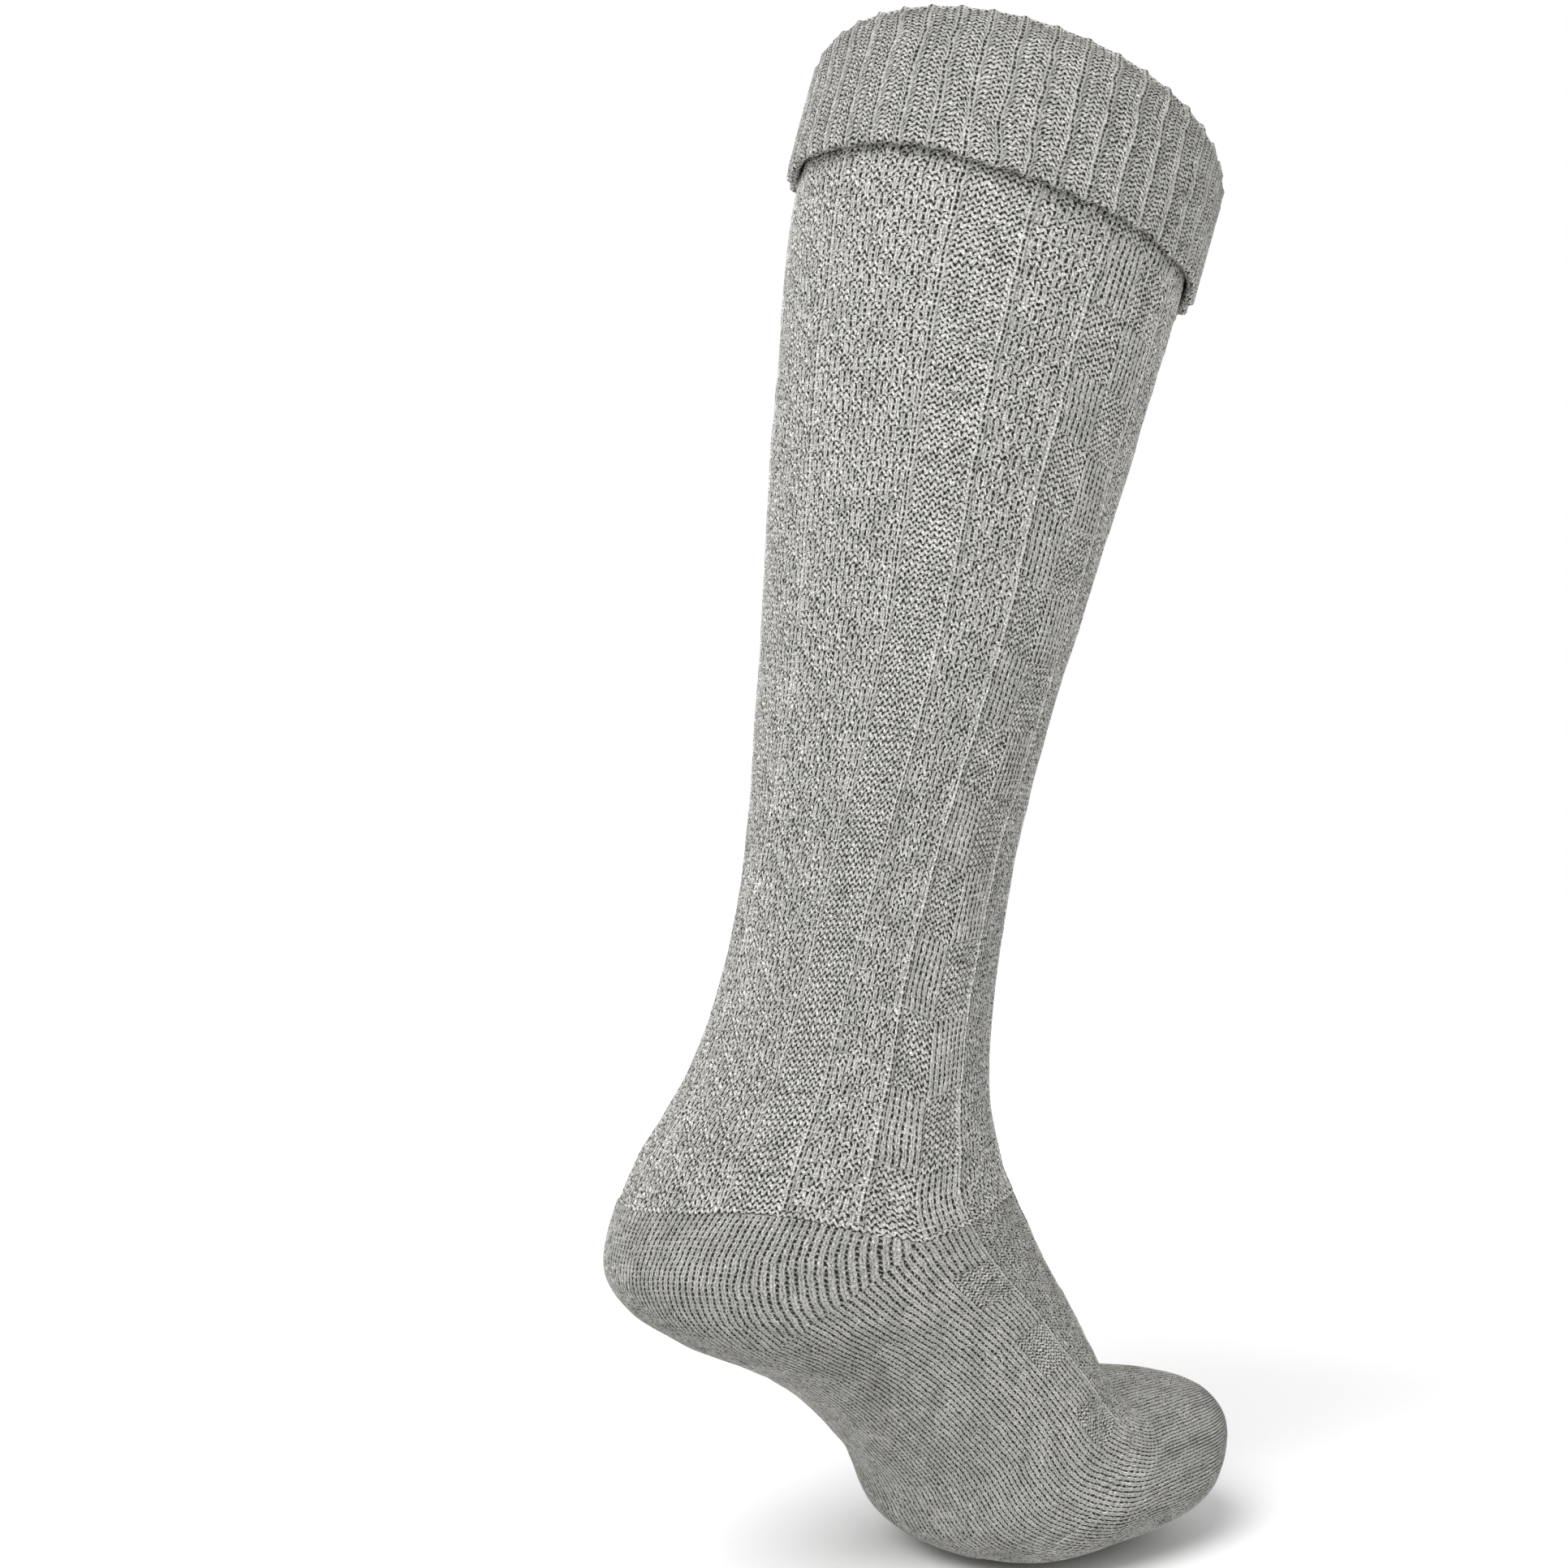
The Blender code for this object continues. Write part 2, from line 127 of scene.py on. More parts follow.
@dataclass
class SockForm:
    """The outer surface of the worn sock, by degrees from the back wale and rows of the section tables.

    Args:
        leg_length: From the middle of the rim to the middle of the ankle.
        leg_lean: Degrees forward of upright.
        calf: Width and depth at the rim.
        ankle: Width and depth at the ankle.
        foot_length: Heel to toe along the sole.
        foot_width: Across the ball.
        instep_height: Height of the foot under the ankle.
        heel_lift: Slope of the sole in degrees from the ball up to the heel.
        ball: Where the ball meets the floor, along and down from the ankle, in the foot's shares.
        wall: Thickness of the fabric.
        cuff_drop: From the rim down to the cuff's free edge, where the cuff is longest.
        cuff_cover: How far the leg's pattern runs on under the cuff.
        heel_apex: Degrees and row of the heel's apex.
        heel_top_row: Row of the heel's upper seam at the back.
        heel_sole_row: Row of the heel's lower seam on the sole.
        heel_top_curve: Power of the upper seam's curve.
        heel_sole_curve: Power of the lower seam's curve.
        toe_seam_row: Row of the seam between the foot and the toe.
        square_ease: Share of the half width in which a squarer section is eased.
        tip_margin: Rows before the tip where the normals are still read.
    """

    leg_length: float = 0.313
    leg_lean: float = 13.8
    calf: tuple[float, float] = (0.122, 0.137)
    ankle: tuple[float, float] = (0.0755, 0.0815)
    foot_length: float = 0.245
    foot_width: float = 0.098
    instep_height: float = 0.075
    heel_lift: float = 38.0
    ball: tuple[float, float] = (0.545, 1.160)
    wall: float = 0.0022
    cuff_drop: float = 0.046
    cuff_cover: float = 0.018
    heel_apex: tuple[float, float] = (98.0, 9.85)
    heel_top_row: float = 8.4
    heel_sole_row: float = 11.45
    heel_top_curve: float = 4.5
    heel_sole_curve: float = 1.6
    toe_seam_row: float = 14.5
    square_ease: float = 0.15
    tip_margin: float = 0.02
    rows: np.ndarray = dataclasses.field(init=False)

    def __post_init__(self) -> None:
        """Work the section tables out into one array of rows."""
        lean, lift = math.radians(self.leg_lean), math.radians(self.heel_lift)
        ankle = -self.leg_length * np.array([math.sin(lean), math.cos(lean)])
        rows = []
        for up, wide, deep, shift, tilt, square, turn in LEG_SECTIONS:
            middle = ankle + self.pitched(shift * self.calf[1], up * self.leg_length, lean)
            width = self.ankle[0] + wide * (self.calf[0] - self.ankle[0])
            depth = self.ankle[1] + deep * (self.calf[1] - self.ankle[1])
            reach = self.pitched(depth / 2, 0.0, lean - math.radians(tilt))
            rows.append([*(middle - reach), *(middle + reach), width / 2, 0.0, square, turn])
        along, down = self.ball[0] * self.foot_length, self.ball[1] * self.instep_height
        ball = ankle + self.pitched(along, -down, lift)
        for table, start, pitch in ((FOOT_SECTIONS, ankle, lift), (TOE_SECTIONS, ball, 0.0)):
            for sole, low, instep, high, wide, offset, square, turn in table:
                back = start + self.pitched(sole * self.foot_length, low * self.instep_height, pitch)
                front = start + self.pitched(instep * self.foot_length, high * self.instep_height, pitch)
                half = wide * self.foot_width / 2
                rows.append([*back, *front, half, offset * self.foot_width, square, turn])
        self.rows = np.array(rows)

    @staticmethod
    def pitched(along: float, up: float, angle: float) -> np.ndarray:
        """A step along and up in a frame that is pitched down by angle, as forward and up."""
        cos, sin = math.cos(angle), math.sin(angle)
        return np.array([along * cos + up * sin, -along * sin + up * cos])

    @property
    def first_step(self) -> float:
        """Length of the leg between its first two rows."""
        return (LEG_SECTIONS[0][0] - LEG_SECTIONS[1][0]) * self.leg_length

    def squared(self, share: np.ndarray, square: np.ndarray) -> np.ndarray:
        """A sine with its power for squareness, eased near nought so that no wale spreads there."""
        return share * (share**2 + self.square_ease**2) ** (1 / square - 0.5)

    @property
    def last_row(self) -> float:
        """The row of the toe's tip."""
        return float(len(self.rows) - 1)

    def section(self, row: np.ndarray) -> np.ndarray:
        """Sections at fractional rows, on a smooth curve through the tables' rows.

        Args:
            row: Rows, of any shape.

        Returns:
            The eight values of each section, in a last axis.
        """
        last = len(self.rows) - 1
        row = np.clip(row, 0.0, last)
        i = np.minimum(row.astype(int), last - 1)
        t = (row - i)[..., None]
        a, b, c, d = (self.rows[np.clip(i + k, 0, last)] for k in (-1, 0, 1, 2))
        cubic = 3 * b - a - 3 * c + d
        square = 2 * a - 5 * b + 4 * c - d
        return 0.5 * (2 * b + (c - a) * t + square * t**2 + cubic * t**3)

    def point(self, degrees: np.ndarray, row: np.ndarray) -> np.ndarray:
        """Points of the outer surface.

        Args:
            degrees: From the back wale round the outer side.
            row: Rows of the section tables; a row below 0 lies above the rim.

        Returns:
            The points, in a last axis.
        """
        above = np.minimum(row, 0.0)[..., None]
        section = self.section(row)
        back, front = section[..., 0:2], section[..., 2:4]
        half, offset, square, turn = (section[..., k] for k in (4, 5, 6, 7))
        angle = np.radians(degrees + turn)
        across, along = (self.squared(share, square) for share in (np.sin(angle), np.cos(angle)))
        side = (back + front) / 2 + (back - front) / 2 * along[..., None]
        found = np.stack([-(offset + half * across), -side[..., 0], side[..., 1]], -1)
        rim_step = self.pitched(0.0, self.first_step, math.radians(self.leg_lean))
        return found - above * np.array([0.0, -rim_step[0], rim_step[1]])

    def normal(self, degrees: np.ndarray, row: np.ndarray) -> np.ndarray:
        """Outward normals at the same places as point()."""
        row = np.minimum(row, self.last_row - self.tip_margin)
        turn, step = 0.5, self.tip_margin / 2
        around = self.point(degrees + turn, row) - self.point(degrees - turn, row)
        down = self.point(degrees, row + step) - self.point(degrees, row - step)
        normal = np.cross(down, around)
        return normal / np.linalg.norm(normal, axis=-1, keepdims=True)

    def raised(self, degrees: np.ndarray, row: np.ndarray, height: np.ndarray) -> np.ndarray:
        """Points at a height over the outer surface."""
        return self.point(degrees, row) + self.normal(degrees, row) * np.asarray(height)[..., None]

    def drop_row(self, drop: float | np.ndarray) -> float | np.ndarray:
        """Row that lies this far down the leg from the rim."""
        return drop / self.first_step

    def heel_top(self, degrees: np.ndarray) -> np.ndarray:
        """Rows of the seam between the leg and the heel, and past its apex the leg and the foot."""
        share = np.minimum(np.abs(degrees) / self.heel_apex[0], 1.0)
        return self.heel_top_row + (self.heel_apex[1] - self.heel_top_row) * share**self.heel_top_curve

    def heel_bottom(self, degrees: np.ndarray) -> np.ndarray:
        """Rows of the seam between the heel and the foot."""
        share = np.minimum(np.abs(degrees) / self.heel_apex[0], 1.0)
        rise = self.heel_sole_row - self.heel_apex[1]
        return self.heel_sole_row - rise * share**self.heel_sole_curve


@dataclass
class WaleLines:
    """Where points lie along each wale between two seams, by length and not by row.

    Args:
        form: The sock's form.
        degrees: Where each wale line starts.
        ends: Where it ends.
        first: Row of each line's start.
        last: Row of each line's end.
        steps: Pieces that each line is measured in.
    """

    form: SockForm
    degrees: np.ndarray
    ends: np.ndarray
    first: np.ndarray
    last: np.ndarray
    steps: int = 96
    shares: np.ndarray = dataclasses.field(init=False)
    lengths: np.ndarray = dataclasses.field(init=False)

    def __post_init__(self) -> None:
        """Measure each line."""
        even = np.linspace(0.0, 1.0, self.steps + 1)
        points = self.form.point(*self.way(even))
        pieces = np.linalg.norm(np.diff(points, axis=1), axis=-1)
        run = np.concatenate([np.zeros((len(points), 1)), np.cumsum(pieces, 1)], 1)
        self.lengths = run[:, -1]
        self.shares = run / run[:, -1:]

    def way(self, share: np.ndarray) -> tuple[np.ndarray, np.ndarray]:
        """Degrees and rows at shares of the way from each line's first row to its last."""
        degrees = self.degrees[:, None] + (self.ends - self.degrees)[:, None] * share
        return degrees, self.first[:, None] + (self.last - self.first)[:, None] * share

    def places_at(self, share: np.ndarray) -> tuple[np.ndarray, np.ndarray]:
        """Degrees and rows at shares of each line's length.

        Args:
            share: Shares, with the lines in the first axis.

        Returns:
            The degrees and the rows, of the same shape.
        """
        even = np.linspace(0.0, 1.0, self.steps + 1)
        found = [np.interp(s, line, even) for s, line in zip(share, self.shares)]
        return self.way(np.array(found))


@dataclass(frozen=True)
class Gauge:
    """The relief of one stitch, in metres.

    Args:
        knit: Height of a knit stitch's two legs over the fabric's ground.
        purl: Height of a purl stitch's bar.
        rib: How far a rib wale stands over the panels.
        block: How far a knit block stands over a purl one.
        sink: How far the holes lie under the form.
        leg_place: From the middle of a knit stitch to the foot of each leg, in wales.
        leg_lean: How much further apart the legs are at the top.
        leg_half: Half the breadth of a leg.
        wave: How far a purl bar waves, in courses.
    """

    knit: float = 0.00055
    purl: float = 0.00060
    rib: float = 0.00075
    block: float = 0.00030
    sink: float = 0.00040
    leg_place: float = 0.15
    leg_lean: float = 0.09
    leg_half: float = 0.30
    wave: float = 0.25

    def knit_height(self, x: np.ndarray, y: np.ndarray) -> np.ndarray:
        """Two legs that lean together downwards."""
        off = np.abs(np.abs(x) - (self.leg_place + self.leg_lean * (1 - y)))
        return self.knit * np.clip(1 - (off / self.leg_half) ** 2, 0, 1)

    def purl_height(self, x: np.ndarray, y: np.ndarray) -> np.ndarray:
        """A bar that waves once in each stitch."""
        off = y - 0.5 + self.wave * np.cos(2 * np.pi * x)
        return self.purl * (0.5 + 0.5 * np.cos(2 * np.pi * off))


GAUGE = Gauge()


@dataclass(frozen=True)
class Wander:
    """How knitting strays from a perfect grid: smooth noise over wales and courses.

    Args:
        cell: Wales and courses from one bend to the next.
        amount: How far it strays.
        seed: Which noise it is.
        knots: Bends after which the noise repeats along the courses.
    """

    cell: tuple[float, float]
    amount: float
    seed: int
    knots: int = 256

    def at(self, wale: np.ndarray, course: np.ndarray, around: int) -> np.ndarray:
        """The stray at these places.

        Args:
            wale: Wales, of any shape.
            course: Courses, of the same shape.
            around: Wales round the piece, after which the noise repeats.

        Returns:
            Values between -amount and amount.
        """
        wide = round(around / self.cell[0])
        knots = np.random.default_rng(self.seed).uniform(-1, 1, (wide, self.knots))
        u, v = wale * wide / around, course / self.cell[1] + self.knots // 4
        i, j = np.floor(u).astype(int), np.floor(v).astype(int)
        s, t = u - i, v - j
        s, t = s * s * (3 - 2 * s), t * t * (3 - 2 * t)
        left, right = i % wide, (i + 1) % wide
        above, below = j % self.knots, (j + 1) % self.knots
        near = knots[left, above] * (1 - s) + knots[right, above] * s
        far = knots[left, below] * (1 - s) + knots[right, below] * s
        return self.amount * (near * (1 - t) + far * t)


WALE_WANDER = (Wander((3, 3), 0.16, 11), Wander((12, 14), 0.22, 12))
COURSE_WANDER = (Wander((3, 3), 0.20, 13), Wander((12, 10), 0.35, 14))
SWELL = (Wander((13, 13), 0.00035, 15), Wander((5, 4), 0.00016, 16))  # unevenness of the cloth in metres


def stray(wale: np.ndarray, course: np.ndarray, around: int) -> tuple[np.ndarray, np.ndarray]:
    """Where the stitches really are, as wales and courses that bend."""
    u = wale + sum(w.at(wale, course, around) for w in WALE_WANDER)
    v = course + sum(w.at(wale, course, around) for w in COURSE_WANDER)
    return u, v


def from_back(wale: np.ndarray) -> np.ndarray:
    """Wales between each whole wale and the back one, on either side."""
    return np.abs((wale + WALES // 2) % WALES - WALES // 2)


def body_panels(wale: np.ndarray) -> np.ndarray:
    """The panel of each wale, as its place in BODY_CHART."""
    starts = np.array([start for start, _ in BODY_CHART])
    return np.searchsorted(starts, from_back(wale), side="right") - 1


def body_chart(wale: np.ndarray, course: np.ndarray) -> tuple[np.ndarray, np.ndarray]:
    """Which stitch is worked at each wale and course of the leg and the instep.

    Args:
        wale: Whole wales, from the back one.
        course: Whole courses, from the cuff down.

    Returns:
        The stitch's value, and the height of the ground under it.
    """
    panel = body_panels(wale)
    kinds = np.array([list(Panel).index(kind) for _, kind in BODY_CHART])[panel]
    starts = np.array([start for start, _ in BODY_CHART])[panel]
    within = from_back(wale) - starts

    def is_kind(kind: Panel) -> np.ndarray:
        """Where the panel is of this kind."""
        return kinds == list(Panel).index(kind)

    moss = (within // 2 + course // 2) % 2
    turn = (course // BLOCK_COURSES) % 2
    knit = np.full(wale.shape, Stitch.PURL.value)
    knit = np.where(is_kind(Panel.MOSS), moss * Stitch.KNIT.value, knit)
    knit = np.where(is_kind(Panel.BLOCKS), turn * Stitch.KNIT.value, knit)
    knit = np.where(is_kind(Panel.BLOCKS_AFTER), (1 - turn) * Stitch.KNIT.value, knit)
    knit = np.where(is_kind(Panel.RIB), Stitch.RIB.value, knit)
    blocks = is_kind(Panel.BLOCKS) | is_kind(Panel.BLOCKS_AFTER)
    ground = np.where(is_kind(Panel.RIB), GAUGE.rib, 0.0)
    return knit, np.where(blocks & (knit > 0), GAUGE.block, ground)


def plain_chart(wale: np.ndarray, course: np.ndarray) -> tuple[np.ndarray, np.ndarray]:
    """Knit all over."""
    return np.full(wale.shape, Stitch.KNIT.value), np.zeros(wale.shape)


def relief(wale: np.ndarray, course: np.ndarray, chart: Callable) -> np.ndarray:
    """Height of the fabric at any wale and course.

    Args:
        wale: Wales, whole at the middle of a stitch.
        course: Courses, whole at a stitch's upper edge.
        chart: Gives the stitch and the ground for whole wales and courses.

    Returns:
        The heights over the form.
    """
    stitch = np.floor(wale + 0.5).astype(int)
    row = np.floor(course).astype(int)
    x, y = wale - stitch, course - row
    knit, _ = chart(stitch, row)
    first = np.floor(wale).astype(int)
    step = wale - first
    step = step * step * (3 - 2 * step)
    ground = chart(first, row)[1] * (1 - step) + chart(first + 1, row)[1] * step
    bumps = np.where(knit > 0, GAUGE.knit_height(x, y), GAUGE.purl_height(x, y))
    return ground + bumps - GAUGE.sink


def linear(colour: str) -> tuple[float, float, float, float]:
    """An sRGB hex colour as linear red, green, blue and alpha."""
    parts = [int(colour[k : k + 2], 16) / 255 for k in (1, 3, 5)]
    light = [c / 12.92 if c <= 0.04045 else ((c + 0.055) / 1.055) ** 2.4 for c in parts]
    return (*light, 1.0)


@dataclass
class Graph:
    """Adds nodes to a material with their settings, values and links.

    Args:
        tree: The material's node tree.
    """

    tree: bpy.types.NodeTree

    def node(self, kind: str, inputs: dict | None = None, **settings: object) -> bpy.types.Node:
        """Add a node.

        Args:
            kind: The node's type name.
            inputs: For each input's name or number, a value, or a socket that is linked to it.
            settings: Properties of the node.

        Returns:
            The node.
        """
        node = self.tree.nodes.new(kind)
        for name, value in settings.items():
            setattr(node, name, value)
        for name, value in (inputs or {}).items():
            if isinstance(value, bpy.types.NodeSocket):
                self.tree.links.new(value, node.inputs[name])
            else:
                node.inputs[name].default_value = value
        return node

    def maths(self, operation: str, *values: object) -> bpy.types.NodeSocket:
        """The output of a Math node on values or sockets."""
        return self.node("ShaderNodeMath", dict(enumerate(values)), operation=operation).outputs[0]

    def vector(self, operation: str, *values: object) -> bpy.types.NodeSocket:
        """The output of a Vector Math node on values or sockets."""
        return self.node("ShaderNodeVectorMath", dict(enumerate(values)), operation=operation).outputs[0]

    def mix(self, factor: object, first: object, second: object) -> bpy.types.NodeSocket:
        """A number between two others."""
        return self.node("ShaderNodeMix", {0: factor, 2: first, 3: second}).outputs[0]

    def blend(self, factor: object, first: object, second: object) -> bpy.types.NodeSocket:
        """A colour between two others."""
        return self.node("ShaderNodeMix", {0: factor, 6: first, 7: second}, data_type="RGBA").outputs[2]

    def ramp(self, value: object, low: object, high: object, kind: str = "LINEAR") -> bpy.types.NodeSocket:
        """0 below low and 1 above high."""
        inputs = {0: value, 1: low, 2: high, 3: 0.0, 4: 1.0}
        return self.node("ShaderNodeMapRange", inputs, interpolation_type=kind).outputs[0]

    def noise(self, place: object, scale: float, detail: float) -> bpy.types.Node:
        """A Noise Texture node."""
        inputs = {"Vector": place, "Scale": scale, "Detail": detail, "Roughness": 0.6}
        return self.node("ShaderNodeTexNoise", inputs)

    def strand(self, distance: object, width: object) -> bpy.types.NodeSocket:
        """A round strand's section: 1 on its crest and 0 past its width."""
        off = self.maths("DIVIDE", distance, width)
        rise = self.maths("SUBTRACT", 1.0, self.maths("MULTIPLY", off, off))
        return self.maths("MAXIMUM", rise, 0.0)


@dataclass(frozen=True)
class HeatheredYarn:
    """Wool and cotton blend spun from light and dark grey fibres, plied and knitted.

    Args:
        name: The material's name.
        light: Colour of the light fibres.
        dark: Colour of the dark fibres.
        hole_shade: Painted shade in the holes between the yarns.
        lift: Depth of the stitches that the shading adds, in metres.
        shade: Painted shade: brightness low down between the yarns, and the painted light that their crests
            add.
        holes: Height below which the tightest stitch is a hole, and what the loosest adds.
        hairs: Size in millimetres of the bends in the yarn.
        bend: How far they reach, in wales and in courses.
        legs: Place of a knit stitch's legs, plain and on a rib.
        widths: Half the breadth of those legs.
        bridges: Height of the yarn that joins them to the next course's.
        bridge_at: Where it lies, in courses, and half its breadth.
        uneven: How far the loops sit above or below each other, in courses.
        purl_half: Half the breadth of a purl bar.
        fleck: Size in millimetres of the light and dark flecks.
        cloud: Size in millimetres of the paler and darker patches.
        shares: How much flecks, clouds and streaks along the yarn count.
        tones: Mixes of the fibres that look all dark and all light.
        twist: Turns of the plies along a stitch and across the yarn.
    """

    name: str
    light: str = "#F9F7F1"
    dark: str = "#A2A29F"
    hole_shade: str = "#1D1C1B"
    lift: float = 0.0007
    shade: tuple[float, float] = (0.57, 0.52)
    holes: tuple[float, float] = (0.27, 0.55)
    hairs: float = 1.6
    bend: tuple[float, float] = (0.50, 0.75)
    legs: tuple[float, float] = (0.21, 0.34)
    widths: tuple[float, float] = (0.20, 0.21)
    bridges: tuple[float, float] = (0.48, 0.55)
    bridge_at: tuple[float, float] = (0.90, 0.34)
    uneven: float = 0.30
    purl_half: float = 0.33
    fleck: float = 0.45
    cloud: float = 7.0
    shares: tuple[float, float, float] = (0.8, 0.30, 0.5)
    tones: tuple[float, float] = (0.62, 0.95)
    twist: tuple[float, float] = (3.0, 2.2)

    def make(self) -> bpy.types.Material:
        """Build the material, which reads the piece's own stitch map and chart."""
        material = bpy.data.materials.new(self.name)
        material.use_nodes = True
        graph = Graph(material.node_tree)
        shader = material.node_tree.nodes["Principled BSDF"]
        height, along, across, chance = self.stitches(graph)
        tone, ply = self.fibres(graph, along, across)
        yarn = graph.blend(tone, linear(self.dark), linear(self.light))
        # Painted shade: the yarn is darker low down between the strands and lighter on their crests.
        shade = graph.maths("MULTIPLY_ADD", height, self.shade[1], self.shade[0])
        yarn = graph.node("ShaderNodeVectorMath", {0: yarn, "Scale": shade}, operation="SCALE").outputs[0]
        # The holes are dark because the yarns round them shade them; some are tighter than others.
        hole = graph.maths("MULTIPLY_ADD", chance, self.holes[1], self.holes[0])
        cover = graph.ramp(height, 0.0, hole, "SMOOTHSTEP")
        colour = graph.blend(cover, linear(self.hole_shade), yarn)
        # The plies show as fine ridges, about a third as high as the yarn.
        lifted = graph.maths("MULTIPLY_ADD", ply, 0.30, height)
        bump = graph.node("ShaderNodeBump", {"Strength": 1.0, "Distance": self.lift, "Height": lifted})
        material.node_tree.links.new(colour, shader.inputs["Base Color"])
        material.node_tree.links.new(bump.outputs[0], shader.inputs["Normal"])
        # Spun fibres scatter light softly, and their loose ends give the edges a pale bloom.
        shader.inputs["Roughness"].default_value = 0.92
        shader.inputs["Specular IOR Level"].default_value = 0.2
        shader.inputs["Sheen Weight"].default_value = 0.08
        shader.inputs["Sheen Roughness"].default_value = 0.5
        return material

    def stitches(self, graph: Graph) -> tuple[bpy.types.NodeSocket, ...]:
        """The yarn's height at this place, its own coordinates, and a chance value for each stitch."""
        place = graph.node("ShaderNodeUVMap", uv_map="stitches").outputs[0]
        spot = graph.node("ShaderNodeTexCoord").outputs["Object"]
        jitter = graph.noise(spot, 1 / (self.hairs * MM), 1.0).outputs["Color"]
        jitter = graph.vector("SUBTRACT", jitter, (0.5, 0.5, 0.5))
        place = graph.vector("MULTIPLY_ADD", jitter, (*self.bend, 0.0), place)
        split = graph.node("ShaderNodeSeparateXYZ", {0: place})
        wale, course = split.outputs[0], split.outputs[1]
        middle = graph.maths("FLOOR", graph.maths("ADD", wale, 0.5))
        x = graph.maths("SUBTRACT", wale, middle)
        row = graph.maths("FLOOR", course)
        y = graph.maths("SUBTRACT", course, row)
        stitch = graph.node("ShaderNodeCombineXYZ", {0: middle, 1: row}).outputs[0]
        chance = graph.node("ShaderNodeTexWhiteNoise", {"Vector": stitch}, noise_dimensions="2D")
        chance = chance.outputs["Value"]
        chart = graph.node("ShaderNodeAttribute", attribute_name="knit", attribute_type="GEOMETRY")
        is_rib = graph.ramp(chart.outputs["Fac"], Stitch.KNIT.value, Stitch.RIB.value)
        is_knit = graph.ramp(chart.outputs["Fac"], 0.2, 0.3)  # between PURL and KNIT
        legs = graph.maths("MULTIPLY_ADD", y, -GAUGE.leg_lean, graph.mix(is_rib, *self.legs))
        off = graph.maths("SUBTRACT", graph.maths("ABSOLUTE", x), legs)
        knit = graph.strand(off, graph.mix(is_rib, *self.widths))
        bar = graph.strand(graph.maths("SUBTRACT", y, self.bridge_at[0]), self.bridge_at[1])
        bridge = graph.maths("MULTIPLY", bar, graph.mix(is_rib, *self.bridges))
        knit = graph.maths("MAXIMUM", knit, bridge)
        turn = graph.maths("MULTIPLY", x, 2 * math.pi)
        wave = graph.maths("MULTIPLY_ADD", graph.maths("COSINE", turn), -GAUGE.wave, 0.5)
        # No two loops sit quite level with each other.
        wave = graph.maths("MULTIPLY_ADD", graph.maths("SUBTRACT", chance, 0.5), self.uneven, wave)
        line = graph.maths("SUBTRACT", y, wave)
        line = graph.maths("SUBTRACT", graph.maths("FRACT", graph.maths("ADD", line, 0.5)), 0.5)
        slope = graph.maths("SINE", turn)
        # The bar keeps its breadth where it slopes.
        slant = graph.maths("MULTIPLY_ADD", graph.maths("MULTIPLY", slope, slope), 1.4, 1.0)
        slant = graph.maths("SQRT", slant)
        purl = graph.strand(line, graph.maths("MULTIPLY", slant, self.purl_half))
        height = graph.mix(is_knit, purl, knit)
        along = graph.mix(is_knit, wale, course)
        across = graph.mix(is_knit, line, off)
        return height, along, across, chance

    def fibres(self, graph: Graph, along: object, across: object) -> tuple[bpy.types.NodeSocket, ...]:
        """The share of light fibres and the twist of the plies, by length and breadth of the yarn."""
        spot = graph.node("ShaderNodeTexCoord").outputs["Object"]
        flecks = graph.noise(spot, 1 / (self.fleck * MM), 2.0).outputs[0]
        clouds = graph.noise(spot, 1 / (self.cloud * MM), 3.0).outputs[0]
        along_yarn = graph.maths("MULTIPLY", along, 1.3)
        lengths = graph.node("ShaderNodeCombineXYZ", {0: along_yarn, 1: across}).outputs[0]
        streaks = graph.noise(lengths, 4.0, 2.0).outputs[0]
        mixed = graph.maths("MULTIPLY", flecks, self.shares[0])
        mixed = graph.maths("MULTIPLY_ADD", clouds, self.shares[1], mixed)
        mixed = graph.maths("MULTIPLY_ADD", streaks, self.shares[2], mixed)
        skew = graph.maths("MULTIPLY", across, self.twist[1])
        twist = graph.maths("MULTIPLY_ADD", along, self.twist[0], skew)
        ply = graph.maths("COSINE", graph.maths("MULTIPLY", twist, 2 * math.pi))
        return graph.ramp(mixed, *self.tones), ply


